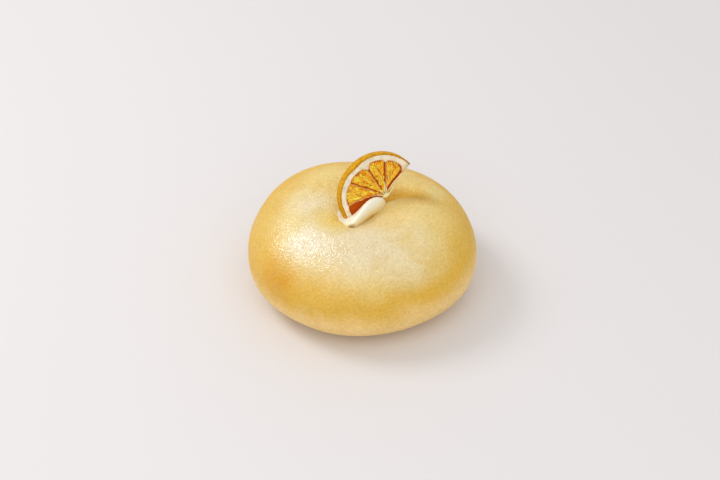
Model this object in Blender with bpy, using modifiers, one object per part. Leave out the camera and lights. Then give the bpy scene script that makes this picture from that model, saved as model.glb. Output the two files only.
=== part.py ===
"""A plump bagel whose hole has closed, with a dab of icing in it and a dried half-slice of lemon in the icing.

Metres, +Z up.  The bagel stands on z = 0 with the middle of its base at the origin, and -Y is its front.
Three pieces: bagel, icing and lemon_slice.  Neighbours keep a gap of FIT to each other.
"""
import math

import bmesh
import bpy
from mathutils import Matrix, Vector

FIT = 0.0003                # gap between pieces that touch

# Bagel: half the plan's width and depth, and the height its crown would reach with no hole
BAGEL_HALF_WIDTH = 0.0537
BAGEL_HALF_DEPTH = 0.0519
CROWN = 0.0491
BELLY = 0.41                # height of the widest ring, as a share of CROWN
TOP_ROUND = 0.92            # power of the section above the belly: 1 is an ellipse, less is squarer
BASE_ROUND = 0.72           # the same below the belly
TRAY_CUT = 0.003            # how much of the underside the baking tray flattened
# Waves round the edge: how many, how deep as a share of the radius, and where a crest lies in degrees
EDGE_WAVES = ((2, 0.0097, -29.0), (3, 0.0104, 0.0), (4, 0.0065, 41.0), (5, 0.0100, -21.0))
TOP_CROWDING = 1.25         # how much closer the rings of vertices lie near the hole than near the base
BAGEL_SEGMENTS = 80
BAGEL_RINGS = 40

# The closed hole: a broad oval dip, and in it the fold where the dough met itself
HOLE_CENTRE = (-0.001, 0.002)
HOLE_HALF_SIZE = (0.031, 0.029)
HOLE_DEPTH = 0.0075
FOLD_DEPTH = 0.0052
FOLD_FRONT = 0.0055         # how far the fold's sides reach: the front lobe drops steeply, the back one gently
FOLD_BACK = 0.013
FOLD_SHARPNESS = 2.6        # power of the fold's sides: 1 is a plain V, more is a tighter pinch
FOLD_LEFT = -0.014          # x where the fold starts and ends
FOLD_RIGHT = 0.032
FOLD_OFFSET = 0.0015        # the fold's y at x = 0; it runs back towards the right and bends as a parabola
FOLD_SLOPE = 0.73
FOLD_BEND = -18.4
DIP_FADE = 0.008            # height above the belly over which the dip grows to its full depth

# Icing: a dab with a five-sided plan, thick at the slice's core and smeared thin to the left and the front
ICING_CENTRE = (0.0064, 0.0001, 0.0433)
ICING_TURN = 24.0           # degrees from +X to the dab's own +X, which runs along the slice
# Each side of the plan: the direction it faces, in degrees in the dab's own plan, and its distance from the centre
ICING_SIDES = ((81.6, 0.0036), (169.0, 0.0183), (202.0, 0.0206), (299.0, 0.0025), (15.0, 0.0066))
ICING_CORNERS = 8.0         # how tight the plan's corners are
ICING_PEAK = 0.0050         # height of its top over its widest ring, at the core and where it is thin
ICING_THIN = 0.0013
ICING_THICK_FROM = -0.0130  # along the dab: where it begins to thicken and where it is thickest
ICING_THICK_TO = -0.0040
ICING_ROOT = 0.0030         # depth of its underside
ICING_TILT = 0.21           # rise of its widest ring towards the front
ICING_SEGMENTS = 44
ICING_RINGS = 18

# Lemon slice, in its own plane: the core at the origin, +X level to the right, +Y up the slice
CORE = (0.01045, 0.0048, 0.0478)
SLICE_TURN = 24.0           # degrees the face turns to the right of the front
SLICE_LEAN = 20.0           # degrees the slice leans back from upright
SLICE_THICKNESS = 0.0040
RIM_RADIUS = 0.0197
RIM_CENTRE = (-0.0026, 0.0012)
CUT_FROM = 40.0             # the half-slice runs from here, at its free tip, to its sunk corner, in degrees
CUT_TO = 210.0
HEEL = 0.0012               # how far the core stands out past the two cuts
RIM_STEPS = 30
EDGE_ROUND = 0.0004
CURL = 0.0007               # how far drying has bent the rim out of the slice's plane
CURL_AT = 75.0              # direction in which the rim bends most, in degrees

# Flesh: each segment has shrunk below the pith and the membranes beside it
MEMBRANES = (40.0, 82.5, 114.5, 148.0, 183.0, 210.0)
MEMBRANE_HALF = 0.0004
CORE_RADIUS = 0.0014
RIND_AND_PITH = 0.0037
SUNK = 0.0006
CORNER_CUT = 0.16           # how much a segment's outer corners are rounded off, as a share of its length
SEGMENT_STEPS = 7

BREAD_COLOUR = (0.84, 0.67, 0.36)
ICING_COLOUR = (0.90, 0.86, 0.72)
LEMON_COLOUR = (0.80, 0.47, 0.06)


def clear_scene():
    for item in list(bpy.data.objects):
        bpy.data.objects.remove(item)


def new_collection(name):
    collection = bpy.data.collections.new(name)
    bpy.context.scene.collection.children.link(collection)
    return collection


def new_material(name, colour, roughness):
    material = bpy.data.materials.new(name)
    material.use_nodes = True
    shader = material.node_tree.nodes["Principled BSDF"]
    shader.inputs["Base Color"].default_value = (*colour, 1.0)
    shader.inputs["Roughness"].default_value = roughness
    shader.inputs["Metallic"].default_value = 0.0
    return material


def object_from_bmesh(name, bm, collection):
    mesh = bpy.data.meshes.new(name)
    bm.to_mesh(mesh)
    bm.free()
    item = bpy.data.objects.new(name, mesh)
    collection.objects.link(item)
    return item


def hide_as_cutter(item):
    item.hide_render = True
    item.display_type = "WIRE"


def cut_away(target, cutter):
    """Takes the cutter's space out of the target, and keeps the modifier on it."""
    boolean = target.modifiers.new("cut_" + cutter.name, "BOOLEAN")
    boolean.operation = "DIFFERENCE"
    boolean.solver = "EXACT"
    boolean.object = cutter
    return boolean


def evaluated_copy(source, name, collection):
    """A plain mesh object of what the source's curve or modifiers make, welded and standing where it stands."""
    depsgraph = bpy.context.evaluated_depsgraph_get()
    mesh = bpy.data.meshes.new_from_object(source.evaluated_get(depsgraph))
    bm = bmesh.new()
    bm.from_mesh(mesh)
    bmesh.ops.remove_doubles(bm, verts=bm.verts, dist=1e-6)
    bmesh.ops.recalc_face_normals(bm, faces=bm.faces)
    bm.to_mesh(mesh)
    bm.free()
    mesh.name = name
    copy = bpy.data.objects.new(name, mesh)
    copy.matrix_world = source.matrix_world.copy()
    collection.objects.link(copy)
    return copy


# ---------------------------------------------------------------- bagel


def edge_radius(around):
    """Radius of the plan in a direction, as a share of the plain ellipse."""
    return 1.0 + sum(depth * math.cos(count * (around - math.radians(crest)))
                     for count, depth, crest in EDGE_WAVES)


def fold_line(x):
    """The fold's y at x."""
    return FOLD_OFFSET + FOLD_SLOPE * x + FOLD_BEND * x * x


def hole_dip(x, y):
    """How far the closed hole sinks the top at a place of the plan."""
    from_centre = math.hypot((x - HOLE_CENTRE[0]) / HOLE_HALF_SIZE[0], (y - HOLE_CENTRE[1]) / HOLE_HALF_SIZE[1])
    broad = 0.5 * HOLE_DEPTH * (1.0 + math.cos(math.pi * min(from_centre, 1.0)))
    along = min(max((x - FOLD_LEFT) / (FOLD_RIGHT - FOLD_LEFT), 0.0), 1.0)
    slope = FOLD_SLOPE + 2.0 * FOLD_BEND * x
    beside = (y - fold_line(x)) / math.sqrt(1.0 + slope * slope)
    reach = FOLD_BACK if beside > 0.0 else FOLD_FRONT
    side = max(1.0 - abs(beside) / reach, 0.0) ** FOLD_SHARPNESS
    return broad + FOLD_DEPTH * math.sin(math.pi * along) * side


def bagel_point(around, down):
    """Place on the skin, for a direction round the plan and an angle down from the middle of the top."""
    belly = CROWN * BELLY
    above = down < 0.5 * math.pi
    power = TOP_ROUND if above else BASE_ROUND
    out = abs(math.sin(down)) ** power * edge_radius(around)
    rise = abs(math.cos(down)) ** power
    x = BAGEL_HALF_WIDTH * out * math.cos(around)
    y = BAGEL_HALF_DEPTH * out * math.sin(around)
    if not above:
        return Vector((x, y, max(belly - (belly + TRAY_CUT) * rise, 0.0)))
    z = belly + (CROWN - belly) * rise
    fade = min((z - belly) / DIP_FADE, 1.0)
    return Vector((x, y, z - fade * hole_dip(x, y)))


def make_bagel(collection):
    bm = bmesh.new()
    bmesh.ops.create_uvsphere(bm, u_segments=BAGEL_SEGMENTS, v_segments=BAGEL_RINGS, radius=1.0)
    for vertex in bm.verts:
        around = math.atan2(vertex.co.y, vertex.co.x)
        share = math.acos(max(-1.0, min(1.0, vertex.co.z))) / math.pi
        vertex.co = bagel_point(around, math.pi * share ** TOP_CROWDING)
    return object_from_bmesh("bagel", bm, collection)


# ---------------------------------------------------------------- icing


def icing_edge(around):
    """Distance from the dab's centre to the edge of its plan, in a direction: a polygon with rounded corners."""
    total = 0.0
    for facing, distance in ICING_SIDES:
        towards = max(math.cos(around - math.radians(facing)), 0.0)
        total += (towards / distance) ** ICING_CORNERS
    return total ** (-1.0 / ICING_CORNERS)


def icing_top(x):
    """Height of the dab's top over its widest ring, at a place along it."""
    share = min(max((x - ICING_THICK_FROM) / (ICING_THICK_TO - ICING_THICK_FROM), 0.0), 1.0)
    return ICING_THIN + (ICING_PEAK - ICING_THIN) * share * share * (3.0 - 2.0 * share)


def icing_point(around, down):
    """Place on the dab, for a direction round its plan and an angle down from the middle of its top."""
    out = icing_edge(around) * math.sin(down)
    x = out * math.cos(around)
    y = out * math.sin(around)
    height = icing_top(x) if down < 0.5 * math.pi else ICING_ROOT
    return Vector((x, y, height * math.cos(down) - ICING_TILT * y))


def make_icing(name, collection, grow=0.0):
    """The dab.  grow makes it larger all round."""
    bm = bmesh.new()
    bmesh.ops.create_uvsphere(bm, u_segments=ICING_SEGMENTS, v_segments=ICING_RINGS, radius=1.0)
    for vertex in bm.verts:
        around = math.atan2(vertex.co.y, vertex.co.x)
        vertex.co = icing_point(around, math.acos(max(-1.0, min(1.0, vertex.co.z))))
    bm.normal_update()
    grown = [vertex.co + vertex.normal * grow for vertex in bm.verts]
    for vertex, place in zip(bm.verts, grown):
        vertex.co = place
    dab = object_from_bmesh(name, bm, collection)
    dab.location = ICING_CENTRE
    dab.rotation_euler = (0.0, 0.0, math.radians(ICING_TURN))
    return dab


# ---------------------------------------------------------------- lemon slice


def rim_distance(angle, radius):
    """Distance from the core to a circle round RIM_CENTRE, in a direction given in degrees."""
    dx = math.cos(math.radians(angle))
    dy = math.sin(math.radians(angle))
    along = dx * RIM_CENTRE[0] + dy * RIM_CENTRE[1]
    across = dx * RIM_CENTRE[1] - dy * RIM_CENTRE[0]
    return along + math.sqrt(radius * radius - across * across)


def at(angle, distance):
    return (distance * math.cos(math.radians(angle)), distance * math.sin(math.radians(angle)))


def slab_outline(grow):
    """The half-slice's outline: out along the free cut, round the rim, and back along the sunk cut."""
    middle = 0.5 * (CUT_FROM + CUT_TO)
    back = at(middle + 180.0, HEEL + grow)
    spread = math.degrees(grow / RIM_RADIUS)
    start = CUT_FROM - spread
    finish = CUT_TO + spread
    points = [back]
    for step in range(RIM_STEPS + 1):
        angle = start + (finish - start) * step / RIM_STEPS
        points.append(at(angle, rim_distance(angle, RIM_RADIUS + grow)))
    return points


def segment_outline(start, finish):
    """One segment's wedge of flesh, between two membranes, with rounded outer corners."""
    middle = 0.5 * (start + finish)
    points = [at(middle, CORE_RADIUS)]
    for step in range(SEGMENT_STEPS + 1):
        across = 2.0 * step / SEGMENT_STEPS - 1.0
        far = rim_distance(middle + across * 0.5 * (finish - start), RIM_RADIUS - RIND_AND_PITH)
        half = 0.5 * (finish - start) - math.degrees(MEMBRANE_HALF / far)
        points.append(at(middle + across * half, far * (1.0 - CORNER_CUT * abs(across) ** 4)))
    return points


def flat_curve(name, outlines, half_thickness, collection):
    """A slab for each outline, as one 2D curve filled on both sides."""
    curve = bpy.data.curves.new(name, "CURVE")
    curve.dimensions = "2D"
    curve.fill_mode = "BOTH"
    curve.extrude = half_thickness
    for outline in outlines:
        spline = curve.splines.new("POLY")
        spline.points.add(len(outline) - 1)
        for point, (x, y) in zip(spline.points, outline):
            point.co = (x, y, 0.0, 1.0)
        spline.use_cyclic_u = True
    item = bpy.data.objects.new(name, curve)
    collection.objects.link(item)
    return item


def slab(name, outlines, thickness, lift, collection):
    """The welded mesh of a flat curve, with its middle lifted off the slice's plane."""
    drawn = flat_curve(name + "_outline", outlines, 0.5 * thickness, collection)
    bpy.context.view_layer.update()
    solid = evaluated_copy(drawn, name, collection)
    bpy.data.objects.remove(drawn)
    solid.data.transform(Matrix.Translation((0.0, 0.0, lift)))
    return solid


def curl(item):
    """Bends the slab out of its plane, more towards the rim, as a drying slice does."""
    for vertex in item.data.vertices:
        reach = math.hypot(vertex.co.x, vertex.co.y) / RIM_RADIUS
        direction = math.atan2(vertex.co.y, vertex.co.x)
        vertex.co.z += CURL * reach * reach * math.cos(2.0 * (direction - math.radians(CURL_AT)))


def slice_placement():
    """Turns and leans the slice's plane and carries its core to CORE."""
    upright = Matrix.Rotation(math.radians(90.0 - SLICE_LEAN), 4, "X")
    turned = Matrix.Rotation(math.radians(SLICE_TURN), 4, "Z")
    return Matrix.Translation(CORE) @ turned @ upright


def make_slice(collection, cutters):
    body = slab("slice_slab", [slab_outline(0.0)], SLICE_THICKNESS, 0.0, cutters)
    bevel = body.modifiers.new("soft_edges", "BEVEL")
    bevel.width = EDGE_ROUND
    bevel.segments = 1
    bevel.limit_method = "ANGLE"
    bevel.angle_limit = math.radians(40.0)
    wedges = [segment_outline(start, finish) for start, finish in zip(MEMBRANES, MEMBRANES[1:])]
    for side, sign in (("front", 1.0), ("back", -1.0)):
        hollow = slab("flesh_" + side, wedges, 2.0 * SUNK, sign * 0.5 * SLICE_THICKNESS, cutters)
        hide_as_cutter(hollow)
        cut_away(body, hollow)
    bpy.context.view_layer.update()
    lemon = evaluated_copy(body, "lemon_slice", collection)
    bpy.data.objects.remove(body)
    curl(lemon)
    lemon.matrix_world = slice_placement()
    return lemon


def make_slice_room(cutters):
    """The space that the slice takes, larger by the fit, for cutting the icing and the bagel."""
    room = slab("slice_room", [slab_outline(FIT)], SLICE_THICKNESS + 2.0 * FIT, 0.0, cutters)
    curl(room)
    room.matrix_world = slice_placement()
    hide_as_cutter(room)
    return room


# ---------------------------------------------------------------- assembly


def finish(item, material, sharp_angle):
    """One material and smooth shading, with edges sharper than the angle kept crisp."""
    item.data.materials.clear()
    item.data.materials.append(material)
    item.data.shade_smooth()
    item.data.set_sharp_from_angle(angle=math.radians(sharp_angle))


def main():
    clear_scene()
    parts = new_collection("bagel_with_lemon")
    cutters = new_collection("cutters")

    bagel = make_bagel(parts)
    icing = make_icing("icing", parts)
    lemon = make_slice(parts, cutters)

    slice_room = make_slice_room(cutters)
    icing_room = make_icing("icing_room", cutters, grow=FIT)
    hide_as_cutter(icing_room)
    cut_away(icing, slice_room)
    cut_away(bagel, icing_room)
    cut_away(bagel, slice_room)

    finish(bagel, new_material("baked_crust", BREAD_COLOUR, 0.45), 60.0)
    finish(icing, new_material("white_icing", ICING_COLOUR, 0.30), 60.0)
    finish(lemon, new_material("dried_lemon", LEMON_COLOUR, 0.50), 35.0)


main()
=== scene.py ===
# %% [markdown]
# # A plump bagel with icing and a dried half-slice of lemon
#
# The bagel is a white-baked one: proved until its hole closed, boiled, and baked pale. A dab of white icing
# sits in the closed hole and holds half a dried lemon slice upright. This lesson builds the look of each
# piece round a frame that is already there: three plain solids that carry the sizes and the weight.

# %% Load the frame
import math

import bmesh
import bpy
from mathutils import Matrix, Vector, noise


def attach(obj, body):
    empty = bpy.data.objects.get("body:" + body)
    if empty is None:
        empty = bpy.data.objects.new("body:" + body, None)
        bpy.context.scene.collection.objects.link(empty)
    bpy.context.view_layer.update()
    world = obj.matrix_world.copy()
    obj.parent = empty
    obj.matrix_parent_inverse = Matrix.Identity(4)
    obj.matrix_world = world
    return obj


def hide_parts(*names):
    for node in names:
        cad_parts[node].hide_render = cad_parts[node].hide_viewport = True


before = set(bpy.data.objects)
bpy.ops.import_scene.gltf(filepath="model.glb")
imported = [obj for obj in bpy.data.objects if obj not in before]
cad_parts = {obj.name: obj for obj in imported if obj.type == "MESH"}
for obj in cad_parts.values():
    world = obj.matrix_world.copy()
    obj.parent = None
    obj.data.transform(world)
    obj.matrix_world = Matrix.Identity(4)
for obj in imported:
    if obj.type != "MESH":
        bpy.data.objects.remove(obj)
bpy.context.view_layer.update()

# %% [markdown]
# ## Helpers
#
# Sizes below are in millimetres where they carry `* MM`, because that is how food is measured. Colours are
# written as the hex values a colour picker shows, and one function turns them into the linear values that
# shaders work in. Another adds one node to a tree, with its settings and links, so that a tree reads as a
# list of steps. The kinds of node that come back most have a short name.

# %% Colours
MM = 0.001


def linear(hex_colour):
    """An sRGB hex colour as linear red, green, blue and alpha."""
    channels = [int(hex_colour[place:place + 2], 16) / 255.0 for place in (1, 3, 5)]
    return (*(c / 12.92 if c <= 0.04045 else ((c + 0.055) / 1.055) ** 2.4 for c in channels), 1.0)


print("cream in linear values:", [round(c, 3) for c in linear("#E8D6AE")])

# %% Nodes
MATH = "ShaderNodeMath"
VECTOR_MATH = "ShaderNodeVectorMath"
NOISE = "ShaderNodeTexNoise"
RANGE = "ShaderNodeMapRange"
MIX = "ShaderNodeMix"


def add(tree, kind, inputs=(), out=0, **settings):
    """Adds a node, with settings as its properties, and gives back one of its outputs.
    inputs is a list, or maps a socket's name or number to a value or to another node's output."""
    node = tree.nodes.new(kind)
    for name, value in settings.items():
        setattr(node, name, value)
    for key, value in (inputs.items() if isinstance(inputs, dict) else enumerate(inputs)):
        if isinstance(value, bpy.types.NodeSocket):
            tree.links.new(value, node.inputs[key])
        else:
            node.inputs[key].default_value = value
    return node.outputs[out] if len(node.outputs) else node


def per_metre(spacing):
    """The Scale of a pattern whose lumps are this far apart, for a place read in metres."""
    return 1.0 / spacing


print("lumps of one millimetre need a scale of", per_metre(1.0 * MM))

# %% [markdown]
# Each finish is a Principled shader. Most need the same start: a material of a given name with its shader
# found and the place on the object, in metres, as the coordinate that every pattern is drawn on. Object
# coordinates keep a pattern still on the piece however the view turns. The plain matt floor needs no more.

# %% A bare material
def new_material(name, **sockets):
    """A material with its Principled sockets set. Gives it, its tree, its shader and its coordinates."""
    material = bpy.data.materials.new(name)
    material.use_nodes = True
    tree = material.node_tree
    shader = tree.nodes["Principled BSDF"]
    for label, value in sockets.items():
        shader.inputs[label.replace("_", " ").title().replace("Ior", "IOR")].default_value = value
    place = add(tree, "ShaderNodeTexCoord", out="Object")
    return material, tree, shader, place


floor_finish = new_material("matt_white_tabletop", base_color=linear("#E6E2E2"), roughness=0.6)[0]
print(floor_finish.name, "has", len(floor_finish.node_tree.nodes), "nodes")

# %% [markdown]
# ## Floor, light and camera
#
# The bagel stands on a plain pale floor. A soft lamp high on the left and a little behind is the key: it
# gives the sheen on the left shoulder and the soft shadow to the right. A broad lamp in front fills the
# shade, and an even pale surround lights the rest, as a bright room does.

# %% Floor
FLOOR_SIZE = 4.0
scene = bpy.context.scene
floor_mesh = bpy.data.meshes.new("floor")
half = 0.5 * FLOOR_SIZE
corners = [(-half, -half, 0.0), (half, -half, 0.0), (half, half, 0.0), (-half, half, 0.0)]
floor_mesh.from_pydata(corners, [], [(0, 1, 2, 3)])
floor_mesh.materials.append(floor_finish)
floor = bpy.data.objects.new("floor", floor_mesh)
scene.collection.objects.link(floor)
print("floor is", FLOOR_SIZE, "m across")

# %% Lamps and surround
AIM = Vector((0.0, 0.0, 0.03))
LAMP_DISTANCE = 1.0
# Name, angle round the bagel from its right, angle above the floor, size and power.
LAMPS = (("key", 159.0, 48.0, 0.42, 3.0), ("fill", 270.0, 50.0, 1.2, 2.4))
SURROUND = 0.71

for name, around, above, width, power in LAMPS:
    light = bpy.data.lights.new(name, "AREA")
    light.shape = "DISK"
    light.size = width
    light.energy = power
    lamp = bpy.data.objects.new(name, light)
    turn = math.radians(around)
    lift = math.radians(above)
    towards = Vector((math.cos(turn) * math.cos(lift), math.sin(turn) * math.cos(lift), math.sin(lift)))
    lamp.location = AIM + LAMP_DISTANCE * towards
    lamp.rotation_euler = towards.to_track_quat("Z", "Y").to_euler()
    scene.collection.objects.link(lamp)

world = bpy.data.worlds.new("pale_room")
world.use_nodes = True
world.node_tree.nodes["Background"].inputs["Color"].default_value = linear("#FFFFFF")
world.node_tree.nodes["Background"].inputs["Strength"].default_value = SURROUND
scene.world = world
scene.view_settings.view_transform = "Standard"
print(len(LAMPS), "lamps", LAMP_DISTANCE, "m away")

# %% Camera
CAMERA_PLACE = (-0.00065, -0.6023, 0.54375)
CAMERA_TILT = math.radians(49.2)
CAMERA_LENS = 85.0
CAMERA_SENSOR = 36.0

camera_data = bpy.data.cameras.new("camera")
camera_data.lens = CAMERA_LENS
camera_data.sensor_width = CAMERA_SENSOR
camera = bpy.data.objects.new("camera", camera_data)
camera.location = CAMERA_PLACE
camera.rotation_euler = (CAMERA_TILT, 0.0, 0.0)
scene.collection.objects.link(camera)
scene.camera = camera
print("camera is", round(camera.location.length, 3), "m from the bagel's base")

# %% [markdown]
# ## Geometry Nodes: making and baking a tree
#
# A rule-made piece is a Geometry Nodes tree with named inputs for its sizes. The two helpers make an empty
# tree with those inputs, and run a tree on a mesh and keep the result as a plain mesh, so that no modifier
# is left live.

# %% Trees
def new_tree(name, sizes):
    """An empty tree with a named input for each size and for a mesh. Gives it and its inputs."""
    tree = bpy.data.node_groups.new(name, "GeometryNodeTree")
    tree.interface.new_socket("Start", in_out="INPUT", socket_type="NodeSocketGeometry")
    tree.interface.new_socket("Finish", in_out="INPUT", socket_type="NodeSocketMaterial")
    for label, value in sizes.items():
        socket = tree.interface.new_socket(label, in_out="INPUT", socket_type="NodeSocketFloat")
        socket.default_value = value
    tree.interface.new_socket("Mesh", in_out="OUTPUT", socket_type="NodeSocketGeometry")
    return tree, tree.nodes.new("NodeGroupInput").outputs


def end_tree(tree, shape, material):
    """Ends a tree: instances made real, the material set, and the result handed out."""
    real = add(tree, "GeometryNodeRealizeInstances", [shape])
    done = add(tree, "GeometryNodeSetMaterial", {"Geometry": real, "Material": material})
    add(tree, "NodeGroupOutput", [done])


def run_tree(name, tree, material, start=None):
    """Runs a tree on a mesh and gives an object whose plain mesh is the result."""
    piece = bpy.data.objects.new(name, start or bpy.data.meshes.new(name))
    bpy.context.scene.collection.objects.link(piece)
    modifier = piece.modifiers.new(name, "NODES")
    modifier.node_group = tree
    modifier[tree.interface.items_tree["Finish"].identifier] = material
    bpy.context.view_layer.update()
    mesh = bpy.data.meshes.new_from_object(piece.evaluated_get(bpy.context.evaluated_depsgraph_get()))
    piece.modifiers.clear()
    piece.data = mesh
    mesh.name = name
    print(name, len(mesh.polygons), "faces")
    return piece


# %% [markdown]
# ## The bread
#
# Dough pushed outwards as it proves takes a section that is fuller than an ellipse above and flatter below,
# and a plan that is nearly round with a few shallow waves. The rule is written in nodes: each point of a
# ball is sent to its place by its direction round the plan and its angle down from the top. The closed hole
# is a broad cosine dip and, in it, a fold where the dough met itself, steep on the front side and gentle
# behind.

# %% Sizes of the bread
BREAD = {
    "Half width": 53.7 * MM,
    "Half depth": 51.9 * MM,
    "Crown": 49.1 * MM,
    "Belly": 20.1 * MM,
    "Top roundness": 0.92,
    "Base roundness": 0.72,
    "Tray cut": 3.0 * MM,
    "Dip depth": 7.5 * MM,
    "Fold depth": 5.2 * MM,
    "Dent depth": 0.45 * MM,
    "Wrinkle depth": 0.10 * MM,
}
EDGE_WAVES = ((2, 0.0097, -29.0), (3, 0.0104, 0.0), (4, 0.0065, 41.0), (5, 0.0100, -21.0))
HOLE_CENTRE = (-1.0 * MM, 2.0 * MM)
HOLE_HALF_SIZE = (31.0 * MM, 29.0 * MM)
FOLD_LINE = (1.5 * MM, 0.73, -18.4)
FOLD_REACH = (5.5 * MM, 13.0 * MM)
FOLD_SHARPNESS = 2.6
FOLD_ENDS = (-14.0 * MM, 32.0 * MM)
DIP_FADE = 8.0 * MM
TOP_CROWDING = 1.25
BREAD_SEGMENTS = 380
BREAD_RINGS = 230
print("bread is about", round(2000 * BREAD["Half width"]), "mm wide")

# %% [markdown]
# First the section: angle down the ball, the ring's reach and its rise.

# %% Bread tree: section and plan
dough, size = new_tree("bread_shape", BREAD)
ball = add(dough, "GeometryNodeMeshUVSphere", {"Segments": BREAD_SEGMENTS, "Rings": BREAD_RINGS})
ball_x, ball_y, ball_z = add(dough, "ShaderNodeSeparateXYZ", [
    add(dough, "GeometryNodeInputPosition")]).node.outputs
around = add(dough, MATH, [ball_y, ball_x], operation="ARCTAN2")
share = add(dough, MATH, [add(dough, MATH, [ball_z], operation="ARCCOSINE"), math.pi], operation="DIVIDE")
down = add(dough, MATH, [add(dough, MATH, [share, TOP_CROWDING], operation="POWER"), math.pi],
           operation="MULTIPLY")
above = add(dough, MATH, [down, 0.5 * math.pi], operation="LESS_THAN")
power = add(dough, MIX, {0: above, 2: size["Base roundness"], 3: size["Top roundness"]})
sine = add(dough, MATH, [add(dough, MATH, [down], operation="SINE"), 0.0], operation="MAXIMUM")
cosine = add(dough, MATH, [add(dough, MATH, [down], operation="COSINE")], operation="ABSOLUTE")
ring = add(dough, MATH, [sine, power], operation="POWER")
rise = add(dough, MATH, [cosine, power], operation="POWER")
edge = 1.0
for count, depth, crest in EDGE_WAVES:
    turn = add(dough, MATH, [around, count, -count * math.radians(crest)], operation="MULTIPLY_ADD")
    edge = add(dough, MATH, [add(dough, MATH, [turn], operation="COSINE"), depth, edge],
               operation="MULTIPLY_ADD")
reach = add(dough, MATH, [ring, edge], operation="MULTIPLY")
x = add(dough, MATH, [reach, size["Half width"]], operation="MULTIPLY")
x = add(dough, MATH, [add(dough, MATH, [around], operation="COSINE"), x], operation="MULTIPLY")
y = add(dough, MATH, [reach, size["Half depth"]], operation="MULTIPLY")
y = add(dough, MATH, [add(dough, MATH, [around], operation="SINE"), y], operation="MULTIPLY")
over_belly = add(dough, MATH, [size["Crown"], size["Belly"]], operation="SUBTRACT")
top_z = add(dough, MATH, [over_belly, rise, size["Belly"]], operation="MULTIPLY_ADD")
under = add(dough, MATH, [size["Belly"], size["Tray cut"]], operation="ADD")
base_z = add(dough, MATH, [size["Belly"], add(dough, MATH, [under, rise], operation="MULTIPLY")],
             operation="SUBTRACT")
base_z = add(dough, MATH, [base_z, 0.0], operation="MAXIMUM")
print("section and plan:", len(dough.nodes), "nodes")

# %% [markdown]
# Then the closed hole. The broad dip is a raised cosine over an oval. The fold runs along a shallow curve:
# how far a point lies beside that curve, against the reach of the lobe it is on, says how deep it is
# pinched.

# %% Bread tree: the closed hole
over_hole = []
for axis, middle, half_size in zip((x, y), HOLE_CENTRE, HOLE_HALF_SIZE):
    off = add(dough, MATH, [axis, middle], operation="SUBTRACT")
    over_hole.append(add(dough, MATH, [off, half_size], operation="DIVIDE"))
dip_place = add(dough, "ShaderNodeCombineXYZ", over_hole)
from_centre = add(dough, VECTOR_MATH, [dip_place], out="Value", operation="LENGTH")
from_centre = add(dough, MATH, [from_centre, 1.0], operation="MINIMUM")
swell = add(dough, MATH, [add(dough, MATH, [from_centre, math.pi], operation="MULTIPLY")],
            operation="COSINE")
half_dip = add(dough, MATH, [size["Dip depth"], 0.5], operation="MULTIPLY")
dip = add(dough, MATH, [swell, half_dip, half_dip], operation="MULTIPLY_ADD")

slope = add(dough, MATH, [x, 2.0 * FOLD_LINE[2], FOLD_LINE[1]], operation="MULTIPLY_ADD")
line_y = add(dough, MATH, [x, FOLD_LINE[2], FOLD_LINE[1]], operation="MULTIPLY_ADD")
line_y = add(dough, MATH, [x, line_y, FOLD_LINE[0]], operation="MULTIPLY_ADD")
steepness = add(dough, MATH, [add(dough, MATH, [slope, slope, 1.0], operation="MULTIPLY_ADD")],
                operation="SQRT")
beside = add(dough, MATH, [add(dough, MATH, [y, line_y], operation="SUBTRACT"), steepness],
             operation="DIVIDE")
behind = add(dough, MATH, [beside, 0.0], operation="GREATER_THAN")
lobe = add(dough, MIX, {0: behind, 2: FOLD_REACH[0], 3: FOLD_REACH[1]})
away = add(dough, MATH, [add(dough, MATH, [beside], operation="ABSOLUTE"), lobe], operation="DIVIDE")
pinch = add(dough, MATH, [1.0, away], operation="SUBTRACT", use_clamp=True)
pinch = add(dough, MATH, [pinch, FOLD_SHARPNESS], operation="POWER")
along = add(dough, RANGE,
            {"Value": x, "From Min": FOLD_ENDS[0], "From Max": FOLD_ENDS[1], "To Max": math.pi})
along = add(dough, MATH, [add(dough, MATH, [along], operation="SINE"), size["Fold depth"]],
            operation="MULTIPLY")
from_behind = add(dough, RANGE, {"Value": beside, "From Min": -0.8 * MM, "From Max": 0.0})
on_top = add(dough, MATH, [above, size["Fold depth"]], operation="DIVIDE")
pinched = add(dough, MATH, [add(dough, MATH, [pinch, along], operation="MULTIPLY"), on_top],
              operation="MULTIPLY")
pinched = add(dough, MATH, [pinched, from_behind], operation="MULTIPLY")
sunk = add(dough, MATH, [pinch, along, dip], operation="MULTIPLY_ADD")
fade = add(dough, RANGE,
           {"Value": add(dough, MATH, [top_z, size["Belly"]], operation="SUBTRACT"), "From Max": DIP_FADE})
top_z = add(dough, MATH, [top_z, add(dough, MATH, [sunk, fade], operation="MULTIPLY")],
            operation="SUBTRACT")
z = add(dough, MIX, {0: above, 2: base_z, 3: top_z})
# The pinch is also kept for the crust, which paints shade in the fold with it.
marked = add(dough, "GeometryNodeStoreNamedAttribute", {
    "Geometry": ball, "Name": "pinch", "Value": pinched})
smooth = add(dough, "GeometryNodeSetPosition", {"Geometry": marked, "Position": add(
    dough, "ShaderNodeCombineXYZ", [x, y, z])})
print("with the closed hole:", len(dough.nodes), "nodes")

# %% [markdown]
# A real crust isn't that smooth. Proving leaves broad soft dents some 20 mm apart, and the boiled skin
# dries into shallow wrinkles a few millimetres apart. Both only ever sink the surface, so the bread stays
# within its size. What is finer than 2 mm is left to the material.

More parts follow.
